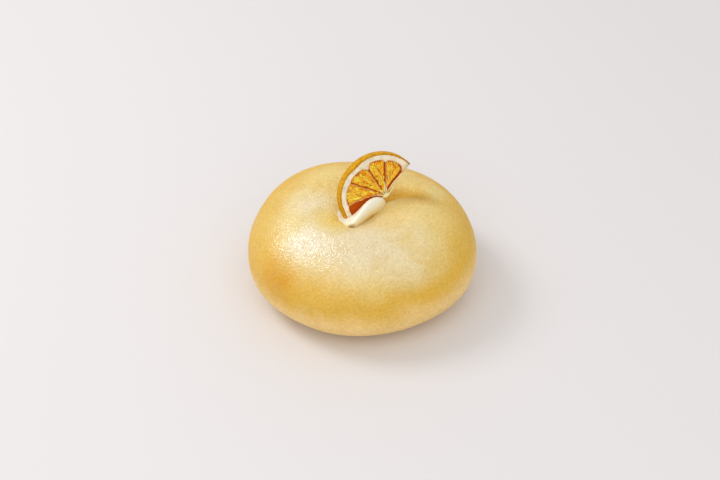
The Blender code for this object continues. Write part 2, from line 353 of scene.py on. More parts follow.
# %% Bread tree: dents and wrinkles
spot = add(dough, "GeometryNodeInputPosition")
outward = add(dough, "GeometryNodeInputNormal")
dents = add(dough, NOISE, {"Vector": spot, "Scale": per_metre(24 * MM), "Detail": 1.0})
wrinkles = add(dough, NOISE, {"Vector": spot, "Scale": per_metre(5 * MM), "Detail": 2.0, "Roughness": 0.6})
sink = add(dough, MATH, [dents, size["Dent depth"]], operation="MULTIPLY")
sink = add(dough, MATH, [wrinkles, size["Wrinkle depth"], sink], operation="MULTIPLY_ADD")
off_base = add(dough, RANGE,
               {"Value": add(dough, "ShaderNodeSeparateXYZ", [spot], out="Z"), "From Max": 6 * MM})
sink = add(dough, MATH, [add(dough, MATH, [sink, off_base], operation="MULTIPLY"), -1.0],
           operation="MULTIPLY")
inward = add(dough, VECTOR_MATH, {0: outward, "Scale": sink}, operation="SCALE")
worn = add(dough, "GeometryNodeSetPosition", {"Geometry": smooth, "Offset": inward})
end_tree(dough, add(dough, "GeometryNodeSetShadeSmooth", [worn]), size["Finish"])
print("whole tree:", len(dough.nodes), "nodes")

# %% [markdown]
# ## Crust
#
# A white-baked crust keeps its colour low: cream where steam kept the front of the top pale, butter yellow
# over the rest of it, gold round the sides and paler again at the foot, which is partly its own colour and
# partly painted light bounced up from the floor. Over these lie local spots: two pale ones of painted
# highlight and sheen on the left shoulder, a pale one low in front on the right, gold ones of deeper
# browning, and two gold ones of painted shade, one with light bounced inside the dip and one above the
# fold's far end.
# Each tone is a soft mask over the place on the bread. A blob mask is 1 at a spot and fades to 0 at given
# distances along the three axes, with its outline made uneven by a cloudy noise.
#
# Boiling gels the skin, so it has a satin gloss. The gel is thickest on the left shoulder, where a clear
# coat gives the bread its brightest sheen, and faint everywhere else.

# %% Crust tones
CREAM = linear("#E8D6AE")
BUTTER = linear("#ECD084")
GOLD = linear("#E6B640")
# Paler at the foot: partly the crust's own colour, partly painted light bounced up from the floor.
FOOT_AND_BOUNCE_LIGHT = linear("#F8D38A")
PATCH_GOLD = linear("#DDB450")
# Partly a browner crease, partly painted shade deep in the fold.
FOLD_TONE_AND_SHADE = linear("#CFA02E")

CREAM_SPOT = ((-0.004, -0.030, 0.046), (0.060, 0.036, 0.018))
GEL_SPOT = ((-0.022, -0.028, 0.044), (0.066, 0.058, 0.034))
GEL_LEAST = 0.08
GOLD_SLANT = (0.03, -0.09, 1.0)
GOLD_HEIGHTS = (45.0 * MM, 32.5 * MM)
FOOT_SLANT = (-0.06, 0.0, 1.0)
FOOT_HEIGHTS = (27.0 * MM, 13.0 * MM)

# Tone, strength, middle and reach of each local spot. The pale ones are on the left shoulder, left of the dip
# and low in front on the right; the first two are painted highlight and sheen. The gold ones are the dip,
# painted shade and bounced light, the right flank, the fold's far end, painted shade, the left flank and,
# the brownest, low on the left.
CRUST_SPOTS = (
    # Painted highlight on the left shoulder.
    (linear("#F6ECD6"), 0.6, (-0.0255, -0.0245, 0.0425), (0.018, 0.015, 0.012)),
    # Painted sheen left of the dip.
    (linear("#F2E4C0"), 0.7, (-0.0230, 0.0020, 0.0440), (0.018, 0.014, 0.010)),
    (linear("#F0DFB4"), 0.6, (0.0190, -0.0370, 0.0370), (0.022, 0.012, 0.012)),
    # Painted shade and light bounced inside the dip.
    (linear("#F0CC50"), 0.85, (-0.0120, -0.0100, 0.0455), (0.014, 0.016, 0.010)),
    (linear("#E0B238"), 0.6, (0.0440, -0.0080, 0.0360), (0.018, 0.038, 0.017)),
    # Painted shade above the fold's far end.
    (linear("#CC9828"), 0.85, (0.0260, 0.0060, 0.0455), (0.018, 0.008, 0.010)),
    (linear("#E6BC4A"), 0.6, (-0.0440, 0.0000, 0.0375), (0.014, 0.036, 0.014)),
    (linear("#DE9C08"), 1.0, (-0.0378, -0.0345, 0.0295), (0.019, 0.018, 0.015)),
)
print("the crust has", len(CRUST_SPOTS), "local spots")


# %% Masks and layers
def blob(tree, place, centre, reach, wobble=0.0):
    """A mask that is 1 at the centre and fades to 0 at the reach along each axis."""
    off = add(tree, VECTOR_MATH, [place, centre], operation="SUBTRACT")
    scaled = add(tree, VECTOR_MATH, [off, reach], operation="DIVIDE")
    far = add(tree, VECTOR_MATH, [scaled], out="Value", operation="LENGTH")
    far = add(tree, MATH, [far, wobble], operation="ADD")
    return add(tree, RANGE, {"Value": far, "From Min": 1.0, "From Max": 0.0},
               interpolation_type="SMOOTHSTEP")


def layered(tree, colour, *layers):
    """A colour with other tones laid over it in turn, each with the share that it covers, from 0 to 1."""
    for share, tone in layers:
        colour = add(tree, MIX, {0: share, 6: colour, 7: tone}, out=2, data_type="RGBA")
    return colour


print("each layer of tone is one", MIX, "node")

# %% Crust tones laid on
crust, tree, shader, place = new_material("boiled_and_baked_bread_crust", roughness=0.5, ior=1.4,
                                           specular_ior_level=0.35, coat_roughness=0.15, coat_ior=1.7)
clouds = add(tree, NOISE, {"Vector": place, "Scale": per_metre(20 * MM), "Detail": 6.0, "Roughness": 0.6})
uneven = add(tree, RANGE, {"Value": clouds, "From Min": 0.3, "From Max": 0.7,
                           "To Min": -4 * MM, "To Max": 4 * MM})
wobble = add(tree, RANGE, {"Value": clouds, "From Min": 0.25, "From Max": 0.75,
                           "To Min": -0.2, "To Max": 0.2})


def below(slant, heights):
    """A mask that grows from 0 to 1 between two heights, measured up a slightly slanted axis."""
    level = add(tree, VECTOR_MATH, [place, slant], out="Value", operation="DOT_PRODUCT")
    level = add(tree, MATH, [level, uneven], operation="ADD")
    return add(tree, RANGE, {"Value": level, "From Min": heights[0], "From Max": heights[1]},
               interpolation_type="SMOOTHSTEP")


colour = layered(tree, BUTTER, (blob(tree, place, *CREAM_SPOT, wobble), CREAM),
                 (below(GOLD_SLANT, GOLD_HEIGHTS), GOLD), (below(FOOT_SLANT, FOOT_HEIGHTS), FOOT_AND_BOUNCE_LIGHT))
for tone, strength, middle, reach in CRUST_SPOTS:
    spot = add(tree, MATH, [blob(tree, place, middle, reach, wobble), strength], operation="MULTIPLY")
    colour = layered(tree, colour, (spot, tone))
gel = add(tree, MATH, [blob(tree, place, *GEL_SPOT, wobble), 1.0 - GEL_LEAST, GEL_LEAST],
          operation="MULTIPLY_ADD")
tree.links.new(gel, shader.inputs["Coat Weight"])
print("crust tones:", len(tree.nodes), "nodes")

# %% [markdown]
# The fold's tone, partly a browner crease and partly painted shade deep in the fold, needs to know where the
# fold runs, and the bread's tree already worked that out, so it hands the pinch on as an attribute. Golden
# patches some nine millimetres apart, where the skin browned unevenly, and a mottle a little over a
# millimetre keep the crust from looking painted.
#
# The gel dries into a pebbled skin with lumps just under a millimetre across. They are too fine to be worth
# modelling and go into the material as relief, which breaks the gloss on the left shoulder into sparkles.

# %% Crust fold, patches and mottle
pinched = add(tree, "ShaderNodeAttribute", out="Fac", attribute_name="pinch")
# The fold's tone: partly a browner crease, partly painted shade.
in_fold = add(tree, RANGE, {"Value": pinched, "From Min": 0.06, "From Max": 0.55, "To Max": 0.95},
              interpolation_type="SMOOTHSTEP")
patches = add(tree, NOISE, {"Vector": place, "Scale": per_metre(9 * MM), "Detail": 5.0,
                            "Roughness": 0.65, "Distortion": 0.5})
patches = add(tree, RANGE, {"Value": patches, "From Min": 0.46, "From Max": 0.72, "To Max": 0.42})
colour = layered(tree, colour, (in_fold, FOLD_TONE_AND_SHADE), (patches, PATCH_GOLD))
mottle = add(tree, NOISE, {"Vector": place, "Scale": per_metre(1.3 * MM), "Detail": 3.0, "Roughness": 0.7})
mottle = add(tree, RANGE, {"Value": mottle, "From Min": 0.3, "From Max": 0.7,
                           "To Min": 0.89, "To Max": 1.12})
colour = add(tree, VECTOR_MATH, {0: colour, "Scale": mottle}, operation="SCALE")
tree.links.new(colour, shader.inputs["Base Color"])
print("with fold, patches and mottle:", len(tree.nodes), "nodes")

# %% Crust pebbles
PEBBLE_SPACING = 0.9 * MM
RIPPLE_SPACING = 2.4 * MM
RIPPLE_SHARE = 1.2
PEBBLE_DEPTH = 0.25 * MM
pebbles = add(tree, "ShaderNodeTexVoronoi", {
    "Vector": place, "Scale": per_metre(PEBBLE_SPACING), "Smoothness": 0.3}, feature="SMOOTH_F1")
ripples = add(tree, NOISE, {
    "Vector": place, "Scale": per_metre(RIPPLE_SPACING), "Detail": 2.0, "Roughness": 0.6})
skin_height = add(tree, MATH, [ripples, RIPPLE_SHARE, pebbles], operation="MULTIPLY_ADD")
relief = add(tree, "ShaderNodeBump", {"Height": skin_height, "Distance": PEBBLE_DEPTH, "Strength": 1.0})
tree.links.new(relief, shader.inputs["Normal"])
tree.links.new(relief, shader.inputs["Coat Normal"])
print("whole crust:", len(tree.nodes), "nodes")

# %% Bread
bread = run_tree("bread", dough, crust)
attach(bread, "root")
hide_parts("bagel")

# %% [markdown]
# ## Icing
#
# Stiff icing pushed aside by the slice: a thick lip beside the slice's core that thins out slantwise to the
# left and the front. Its plan is a polygon with rounded corners, each side given by the way it faces and
# its distance from the middle. Rings near the top are rounder than those at the edge, so that no ridge runs
# in from a corner. The dab is laid on the bread by looking straight down from each of its points to the
# crust, and its cage is rounded off.
#
# Set sugar icing is a smooth, slightly glossy white with a little light inside it. Towards the front it turns
# cream on its thin edge, on the side away from the key lamp: partly the crust showing through and partly
# painted shade and light reflected from the crust. Its very edge is a fine golden line, partly painted
# contact shadow, and painted shadow darkens the spot under its overhanging front corner.

# %% Sizes of the icing
ICING_CENTRE = Vector((0.00153, -0.00371, 0.0))
ICING_TURN = math.radians(24.0)
ICING_SIDES = ((81.6, 0.0060), (169.0, 0.0120), (202.0, 0.0139), (299.0, 0.0041), (15.0, 0.0128))
ICING_CORNERS = 11.0
ICING_MIDDLE_CORNERS = 2.0
ICING_PEAK = 9.0 * MM
ICING_THIN = 0.9 * MM
ICING_SLANT = 0.9
ICING_THICK_FROM = -9.0 * MM
ICING_THICK_TO = 4.5 * MM
ICING_ROOT = 3.0 * MM
ICING_SUNK = 0.1 * MM
ICING_STEPS = (40, 12)
ICING_LEVELS = 3
ICING_SWELL = 1.05
ICING_FULLNESS = 1.8
ICING_THINNING = 10.0
# The side, away from the key lamp, where the thin edge takes painted shade and reflected crust colour.
ICING_SHADED_SIDE = math.radians(285.0)
# A painted shadow under the dab's overhanging front corner.
ICING_CORNER_SHADOW = ((-0.0050, -0.0170, 0.0460), (0.0045, 0.0024, 0.0040))
print("the dab has", len(ICING_SIDES), "sides and is up to", round(ICING_PEAK / MM), "mm thick")


# %% Plan and section of the icing
def icing_edge(turn, corners):
    """Distance from the dab's middle to the edge of its plan. More corners, sharper corners."""
    total = sum((max(math.cos(turn - math.radians(facing)), 0.0) / distance) ** corners
                for facing, distance in ICING_SIDES)
    return total ** (-1.0 / corners)


def icing_point(turn, tip):
    """Place on the dab for a direction round its plan and an angle down from its top."""
    corners = ICING_MIDDLE_CORNERS + (ICING_CORNERS - ICING_MIDDLE_CORNERS) * math.sin(tip) ** 2
    out = icing_edge(turn, corners) * math.sin(tip)
    px = out * math.cos(turn)
    py = out * math.sin(turn)
    part = (px - ICING_SLANT * py - ICING_THICK_FROM) / (ICING_THICK_TO - ICING_THICK_FROM)
    part = min(max(part, 0.0), 1.0)
    top = ICING_THIN + (ICING_PEAK - ICING_THIN) * part * part * (3.0 - 2.0 * part)
    rise = math.sqrt(max(0.0, 1.0 - math.sin(tip) ** ICING_FULLNESS))
    return Vector((px, py, (top if tip < 0.5 * math.pi else -ICING_ROOT) * rise))


print("the dab's edge lies", round(icing_edge(0.0, ICING_CORNERS) / MM, 1), "mm to the right of its middle")


# %% From a cage to a smooth piece
def object_from(bm, name, material):
    """A smooth-shaded object from a bmesh, with doubled points merged and its faces turned outwards."""
    bmesh.ops.remove_doubles(bm, verts=bm.verts, dist=1e-6)
    bmesh.ops.recalc_face_normals(bm, faces=bm.faces)
    mesh = bpy.data.meshes.new(name)
    bm.to_mesh(mesh)
    bm.free()
    mesh.materials.append(material)
    mesh.shade_smooth()
    piece = bpy.data.objects.new(name, mesh)
    bpy.context.scene.collection.objects.link(piece)
    print(name, len(mesh.polygons), "faces")
    return piece


def subdivided(piece, levels):
    """The same piece with its cage of a few faces rounded off into a smooth skin."""
    rounding = piece.modifiers.new("rounding", "SUBSURF")
    rounding.levels = levels
    rounding.render_levels = levels
    bpy.context.view_layer.update()
    mesh = bpy.data.meshes.new_from_object(piece.evaluated_get(bpy.context.evaluated_depsgraph_get()))
    piece.modifiers.clear()
    piece.data = mesh
    return piece


print("a cage face becomes", 4 ** ICING_LEVELS, "faces")

# %% Icing finish
icing_material, tree, shader, place = new_material("set_sugar_icing", roughness=0.3, subsurface_weight=0.3,
                                                   subsurface_scale=1.5 * MM)
shader.inputs["Subsurface Radius"].default_value = (1.0, 0.9, 0.7)
# Cream on the thin front edge: partly crust showing through, partly painted shade and reflected light.
thin_shaded_edge = add(tree, "ShaderNodeAttribute", out="Fac", attribute_name="thin_shaded_edge")
# The golden line at the very edge: partly crust through the thinnest icing, partly painted contact shadow.
rim_shadow_line = add(tree, RANGE, {"Value": thin_shaded_edge, "From Min": 0.7, "From Max": 0.98})
tone = layered(tree, linear("#FFFDEA"), (thin_shaded_edge, linear("#EFC75C")), (rim_shadow_line, linear("#C8982A")),
               (blob(tree, place, *ICING_CORNER_SHADOW), linear("#9A6A10")))
tree.links.new(tone, shader.inputs["Base Color"])
print("icing finish:", len(tree.nodes), "nodes")

# %% Icing dab
bm = bmesh.new()
bmesh.ops.create_uvsphere(bm, u_segments=ICING_STEPS[0], v_segments=ICING_STEPS[1], radius=1.0)
thin_layer = bm.verts.layers.float.new("thin_shaded_edge")
for vertex in bm.verts:
    tip = math.acos(max(-1.0, min(1.0, vertex.co.z)))
    turn = math.atan2(vertex.co.y, vertex.co.x)
    facing_front = 0.5 + 0.5 * math.cos(turn - ICING_SHADED_SIDE)
    vertex[thin_layer] = facing_front * math.sin(min(tip, 0.5 * math.pi)) ** ICING_THINNING
    vertex.co = ICING_SWELL * icing_point(turn, tip)
bm.transform(Matrix.Translation(ICING_CENTRE) @ Matrix.Rotation(ICING_TURN, 4, "Z"))
for vertex in bm.verts:
    above_it = Vector((vertex.co.x, vertex.co.y, 1.0))
    vertex.co.z += bread.ray_cast(above_it, Vector((0.0, 0.0, -1.0)))[1].z - ICING_SUNK
icing = subdivided(object_from(bm, "icing_dab", icing_material), ICING_LEVELS)
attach(icing, "root")
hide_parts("icing")

# %% [markdown]
# ## The slice of lemon
#
# A lemon dried in slices keeps its build: a rind of golden zest, a white pith, segments of juice sacs
# between thin membranes, and a pale core. Each is made in the slice's own plane, with the core at the
# origin, as angles round the core and distances from it. A last step bends the plane a little, as drying
# does, and stands it in the icing.

# %% Sizes of the slice
CORE = Vector((0.01045, 0.0048, 0.0478))
SLICE_TURN = math.radians(24.0)
SLICE_LEAN = math.radians(20.0)
HALF_THICK = 2.0 * MM
RIM_RADIUS = 19.7 * MM
RIM_CENTRE = (-2.6 * MM, 1.2 * MM)
CUT_FROM = 40.0
CUT_TO = 210.0
HOLLOW_FROM = 183.0
MEMBRANES = (CUT_FROM, 82.5, 114.5, 148.0, HOLLOW_FROM, CUT_TO)
PITH_AND_RIND = 3.5 * MM
RIND_SWELLS = ((124.0, 0.5, 10.0), (187.0, 0.4, 9.0), (42.0, -0.3, 14.0))
PITH_NOTCHES = ((CUT_FROM, 0.12, 8.0), (82.5, 0.04, 3.0), (114.5, 0.10, 5.0), (120.0, 0.04, 7.0))
TORN_BOW = 1.6 * MM
CURL = 0.7 * MM
CURL_AT = math.radians(75.0)
print("the slice is", round(2000 * RIM_RADIUS), "mm across and", round(2000 * HALF_THICK), "mm thick")


# %% Rim, rind and segments
def bump_at(angle, middle, spread):
    """1 at the middle angle, falling smoothly to 0 away from it."""
    return math.exp(-((angle - middle) / spread) ** 2)


def polar(angle, distance, lift=0.0):
    """Place in the slice for an angle in degrees, a distance from the core and a height off the plane."""
    turn = math.radians(angle)
    return Vector((distance * math.cos(turn), distance * math.sin(turn), lift))


def rough(x, y, wavelength):
    """A soft random value from -1 to 1 whose lumps are this far apart, the same at every run."""
    return noise.noise(Vector((x / wavelength, y / wavelength, 0.37)))


def rim(angle):
    """Distance from the core to the outside of the rind, flattened where slices touched as they dried."""
    way = polar(angle, 1.0)
    along_centre = way.x * RIM_CENTRE[0] + way.y * RIM_CENTRE[1]
    across = way.x * RIM_CENTRE[1] - way.y * RIM_CENTRE[0]
    return along_centre + math.sqrt(RIM_RADIUS ** 2 - across ** 2) - 0.35 * MM * bump_at(angle, 130.0, 11.0)


def rind_inside(angle):
    """Distance from the core to where the zest meets the pith."""
    thick = 1.0 + sum(more * bump_at(angle, middle, spread) for middle, more, spread in RIND_SWELLS)
    return rim(angle) - (thick + 0.08 * rough(angle, 0.0, 3.0)) * MM


def segment_at(angle):
    """The two membranes on either side of an angle, and the place between them from -1 to 1."""
    first, last = next((pair for pair in zip(MEMBRANES, MEMBRANES[1:]) if angle <= pair[1]), MEMBRANES[-2:])
    return first, last, 2.0 * (angle - first) / (last - first) - 1.0


def torn_from(distance):
    """Angle of the torn wall, which bows up from a straight line on its way out."""
    bow = TORN_BOW * math.sin(math.pi * min(distance / RIM_RADIUS, 1.0))
    return HOLLOW_FROM - math.degrees(bow / max(distance, MM))


def flesh_edge(angle):
    """Distance from the core to the outer edge of the flesh, drawn in at the corners of each segment."""
    corner = 0.03 * abs(segment_at(angle)[2]) ** 5
    notches = sum(depth * bump_at(angle, middle, spread) for middle, depth, spread in PITH_NOTCHES)
    return (rim(angle) - PITH_AND_RIND) * (1.0 - corner - notches) + 0.12 * MM * rough(angle, 9.0, 2.5)


print("the rind is", round((rim(90.0) - rind_inside(90.0)) / MM, 2), "mm thick at the top")


# %% Standing the slice up
def stand(bm):
    """Bends the plane as drying does and stands the slice in the icing."""
    placement = (Matrix.Translation(CORE) @ Matrix.Rotation(SLICE_TURN, 4, "Z")
                 @ Matrix.Rotation(math.radians(90.0) - SLICE_LEAN, 4, "X"))
    for vertex in bm.verts:
        far = math.hypot(vertex.co.x, vertex.co.y) / RIM_RADIUS
        direction = math.atan2(vertex.co.y, vertex.co.x)
        vertex.co.z += CURL * far * far * math.cos(2.0 * (direction - CURL_AT))
    bm.transform(placement)


def keep_in_slice(piece):
    """What every piece of the slice is told: its body and the solid it stands for."""
    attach(piece, "root")
    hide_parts("lemon_slice")


print("the slice leans back", round(math.degrees(SLICE_LEAN)), "degrees")

# %% [markdown]
# Rind and pith are both rounded strips that run round the rim. One function draws the section at an angle
# as a rounded box from an inner to an outer distance, and another skins the sections from cut to cut and
# closes the ends.

# %% Strips round the rim
ARC_STEPS = 220


def arc_angles(start=CUT_FROM, finish=CUT_TO, steps=ARC_STEPS):
    return [start + (finish - start) * step / steps for step in range(steps + 1)]


def rounded_box(low, high, half_height, corner, sides=6, steps=4):
    """Points round a rounded rectangle from low to high, as (distance, lift), with each side divided."""
    corners = ((high - corner, half_height - corner), (low + corner, half_height - corner),
               (low + corner, corner - half_height), (high - corner, corner - half_height))
    points = []
    for number, (cx, cy) in enumerate(corners):
        for step in range(steps + 1):
            turn = math.radians(90.0 * (number + step / steps))
            points.append((cx + corner * math.cos(turn), cy + corner * math.sin(turn)))
        turn = math.radians(90.0 * (number + 1))
        nx, ny = corners[(number + 1) % 4]
        for step in range(1, sides):
            part = step / sides
            points.append((cx + (nx - cx) * part + corner * math.cos(turn),
                           cy + (ny - cy) * part + corner * math.sin(turn)))
    return points


def loft(bm, rings):
    """A closed skin over rings of points, capped at both ends. Gives the rings of vertices."""
    made = [[bm.verts.new(point) for point in ring_points] for ring_points in rings]
    count = len(made[0])
    for near, far in zip(made, made[1:]):
        for i in range(count):
            bm.faces.new((near[i], near[(i + 1) % count], far[(i + 1) % count], far[i]))
    bm.faces.new(made[0])
    bm.faces.new(list(reversed(made[-1])))
    return made


print("strips have", ARC_STEPS, "steps round the rim")

# %% [markdown]
# ### Rind
#
# The zest dries to a deep gold with tiny brown and olive freckles, darker where the cut face meets the pith
# and darkest at the thin free tip. Its outside is pitted all over: each pit is an oil gland that emptied as
# it dried, a good half millimetre across, drawn here as real dimples. A waxy skin is left, so it shines a
# little.

# %% Rind finish
rind_material, tree, shader, place = new_material("dried_lemon_zest", roughness=0.42, ior=1.46,
                                                  specular_ior_level=0.1)
freckles = add(tree, NOISE, {
    "Vector": place, "Scale": per_metre(1.3 * MM), "Detail": 3.0, "Roughness": 0.7})
freckled = add(tree, RANGE, {"Value": freckles, "From Min": 0.42, "From Max": 0.66})
cut_side = add(tree, "ShaderNodeAttribute", out="Fac", attribute_name="cut_side")
tip = add(tree, "ShaderNodeAttribute", out="Fac", attribute_name="tip")
zest = layered(tree, linear("#E2A400"), (freckled, linear("#B87E04")), (cut_side, linear("#B9790F")),
               (tip, linear("#8C6420")))
tree.links.new(zest, shader.inputs["Base Color"])
print("rind finish:", len(tree.nodes), "nodes")

# %% Rind
GLAND_SPACING = 0.75 * MM
GLAND_DEPTH = 0.16 * MM


def store(bm, name, values, kind="float"):
    """Keeps a value for each vertex under a name that a material can read."""
    layer = getattr(bm.verts.layers, kind).new(name)
    for vertex, value in zip(bm.verts, values):
        vertex[layer] = value


bm = bmesh.new()
marks = []
rings = []
for angle in arc_angles(steps=3 * ARC_STEPS):
    outside = rim(angle)
    inside = rind_inside(angle)
    section = []
    for distance, lift in rounded_box(inside, outside, HALF_THICK, 0.4 * MM, sides=10):
        out_share = (distance - inside) / (outside - inside)
        pit = max(0.0, rough(math.radians(angle) * outside, lift + 0.4 * distance, GLAND_SPACING))
        section.append(polar(angle, distance - GLAND_DEPTH * pit * out_share, lift * (1.0 - 0.03 * pit)))
        marks.append((max(0.0, 1.0 - 1.6 * out_share) * 0.8, bump_at(angle, CUT_FROM - 3.0, 8.0)))
    rings.append(section)
loft(bm, rings)
store(bm, "cut_side", [mark[0] for mark in marks])
store(bm, "tip", [mark[1] for mark in marks])
stand(bm)
rind = object_from(bm, "lemon_rind", rind_material)
keep_in_slice(rind)

# %% [markdown]
# ### Pith
#
# Pith dries to a matt, spongy off-white. It is faintly blotched with buff, takes up orange from the flesh
# along its inner edge, and yellows towards the thin free tip. Its faces sink a little between rind and
# flesh.

# %% Pith finish
pith_material, tree, shader, place = new_material("dried_white_pith", roughness=0.8, ior=1.4)
blotches = add(tree, NOISE, {
    "Vector": place, "Scale": per_metre(2.6 * MM), "Detail": 4.0, "Roughness": 0.6})
blotched = add(tree, RANGE, {"Value": blotches, "From Min": 0.45, "From Max": 0.75})
stain = add(tree, "ShaderNodeAttribute", out="Fac", attribute_name="stain")
tip = add(tree, "ShaderNodeAttribute", out="Fac", attribute_name="tip")
white = layered(tree, linear("#FBEFD6"), (blotched, linear("#DDC9A4")), (stain, linear("#E0A862")),
                (tip, linear("#D7BB89")))
tree.links.new(white, shader.inputs["Base Color"])
print("pith finish:", len(tree.nodes), "nodes")

# %% Pith
bm = bmesh.new()
marks = []
rings = []
for angle in arc_angles():
    inside = flesh_edge(angle)
    outside = rind_inside(angle) + 0.1 * MM
    section = []
    for distance, lift in rounded_box(inside, outside, HALF_THICK - 0.12 * MM, 0.4 * MM):
        across = (distance - inside) / (outside - inside)
        sunk = 1.0 - 0.10 * math.sin(math.pi * across) - 0.05 * rough(distance / MM, angle / 4.0, 1.0)
        section.append(polar(angle, distance, lift * sunk))
        yellowed = max(bump_at(angle, CUT_FROM, 5.0), 0.7 * bump_at(angle, 205.0, 7.0))
        marks.append((max(0.0, 0.8 - 2.8 * across), yellowed))
    rings.append(section)
loft(bm, rings)
store(bm, "stain", [mark[0] for mark in marks])
store(bm, "tip", [mark[1] for mark in marks])
stand(bm)
pith = object_from(bm, "lemon_pith", pith_material)
keep_in_slice(pith)

# %% [markdown]
# ### Flesh
#
# Each segment is a wedge of skin packed with juice sacs. In drying it sinks between its membranes, so the
# floor of every segment is a shallow cushion, lowest and darkest along its edges: the brown there is partly
# syrup that gathered and browned, and partly painted shade down in the grooves. Along the free cut the brown
# band is wider, because that edge dried fastest. The last segment has lost its sacs: only a dark red-orange
# film is left, deep in the slice, its colour partly painted shade in the hollow, and its torn wall bows up a
# little on its way out.
#
# Dried flesh is clear gold over amber, with fine rust-brown veins, and shines a little where the sacs are
# sticky. Its wrinkles run out from the core, as the sacs do, so their noise is drawn on a place of its own,
# "grain": the distance from the core, shortened to stretch the pattern that way, and the way round it.
# "edge" is 1 along a segment's border and 0 over its middle. "hollow" is 1 in the emptied segment.

# %% Flesh finish
FLESH_GOLD = linear("#FFE64A")
FLESH_AMBER = linear("#FFB010")
FLESH_RUST = linear("#C25600")
FLESH_BROWN_AND_SHADE = linear("#B84400")
# The emptied segment's film: partly its own red-orange, partly painted shade in the hollow.
HOLLOW_RED_AND_SHADE = linear("#C85600")
GRAIN_STRETCH = 3.0
GRAIN_RADIUS = 10.0 * MM


def flesh_material(name, gold, amber, brown, roughness, shine):
    """Dried flesh: gold in the middle of a segment, amber in its wrinkles, rust in its veins, brown along its
    border and dark red-orange in the hollow, the last two partly painted shade."""
    material, tree, shader, _ = new_material(name, roughness=roughness, ior=1.46, specular_ior_level=shine)
    grain = add(tree, "ShaderNodeAttribute", out="Vector", attribute_name="grain")
    wrinkled = add(tree, NOISE, {
        "Vector": grain, "Scale": per_metre(1.7 * MM), "Detail": 2.0, "Roughness": 0.6})
    wrinkled = add(tree, RANGE, {"Value": wrinkled, "From Min": 0.53, "From Max": 0.62})
    veins = add(tree, NOISE, {
        "Vector": grain, "Scale": per_metre(1.5 * MM), "Detail": 1.0, "Distortion": 0.6})
    veins = add(tree, MATH, [add(tree, MATH, [veins, 0.5], operation="SUBTRACT")], operation="ABSOLUTE")
    veined = add(tree, RANGE, {"Value": veins, "From Min": 0.038, "From Max": 0.0, "To Max": 0.95})
    own, edge, hollow = [add(tree, "ShaderNodeAttribute", out="Fac", attribute_name=mark)
                         for mark in ("tone", "edge", "hollow")]
    tone = layered(tree, gold, (wrinkled, amber), (own, amber), (veined, FLESH_RUST), (edge, brown),
                   (hollow, HOLLOW_RED_AND_SHADE))
    tree.links.new(tone, shader.inputs["Base Color"])
    return material


# The brown along each segment's border is partly browned syrup, partly painted shade in the grooves.
skin_material = flesh_material("dried_segment_skin", FLESH_AMBER, linear("#D0700C"), FLESH_BROWN_AND_SHADE,
                               roughness=0.45, shine=0.15)
sac_material = flesh_material("dried_juice_sacs", FLESH_GOLD, linear("#FFA808"), linear("#D87A08"),
                              roughness=0.25, shine=0.3)
print("flesh finishes:", skin_material.name, sac_material.name)

# %% [markdown]
# The floor and the bed that the sacs stand on share one rule for how near a place is to its segment's
# border, in millimetres along the face.

# %% Segment borders
FLOOR_HALF = 1.25 * MM
FLOOR_SUNK = 0.45 * MM
HOLLOW_HALF = 0.5 * MM
CUT_BAND = 1.2 * MM
EDGE_FADE = 1.0 * MM
EDGE_RAGGED = 0.6 * MM
BORDER_FULL = 7.0 * MM


def narrowing(distance):
    """How much of its full width a border has at a distance from the core, where segments are narrow."""
    return min(distance / BORDER_FULL, 1.0)


def edge_share(angle, distance):
    """1 along the ragged border of a segment, 0 well inside it. The border is wider along the free cut."""
    first, last, _ = segment_at(angle)
    from_first = distance * math.radians(angle - first) - (CUT_BAND if first == CUT_FROM else 0.0)
    inside = min(from_first, distance * math.radians(last - angle), flesh_edge(angle) - distance)
    ragged = EDGE_RAGGED * rough(distance / MM, math.radians(angle) * distance / MM, 1.3)
    share = 1.0 - min(max(inside / (EDGE_FADE * narrowing(distance)) + ragged / EDGE_FADE, 0.0), 1.0)
    return share * share * (3.0 - 2.0 * share)


print("borders fade over", EDGE_FADE / MM, "mm and are ragged by", EDGE_RAGGED / MM, "mm")

# %% Segment floors
bm = bmesh.new()
marks = []
grain = []
rings = []
for angle in arc_angles():
    section = []
    outer = flesh_edge(angle) + 0.3 * MM
    for distance, lift in rounded_box(0.5 * MM, outer, FLOOR_HALF, 0.2 * MM, sides=40):
        hollow = 1.0 if angle > torn_from(distance) else 0.0
        border = edge_share(angle, distance)
        sunk = HOLLOW_HALF / FLOOR_HALF if hollow else 1.0 - border * FLOOR_SUNK / FLOOR_HALF
        wrinkle = 0.16 * rough(distance / MM, angle / 6.0, 1.1)
        section.append(polar(angle, distance, lift * (sunk + (1.0 - border) * wrinkle)))
        marks.append((border, hollow))
        grain.append((distance / GRAIN_STRETCH, math.radians(angle) * GRAIN_RADIUS, lift))
    rings.append(section)
loft(bm, rings)
store(bm, "edge", [mark[0] for mark in marks])
store(bm, "hollow", [mark[1] for mark in marks])
store(bm, "grain", grain, kind="float_vector")
stand(bm)
skin = object_from(bm, "segment_skin", skin_material)
keep_in_slice(skin)

# %% [markdown]
# Juice sacs are little teardrops whose tails all point at the core. Their tree scatters points over a bed,
# spaced like grains that can't overlap, puts a low-cut teardrop on each, aims it, sizes it at random and
# crumples the lot, because dried sacs collapse. Each keeps a tone of its own, and the bed's edge value
# travels with it. Last, each point of the finished sacs gets its place in the grain.

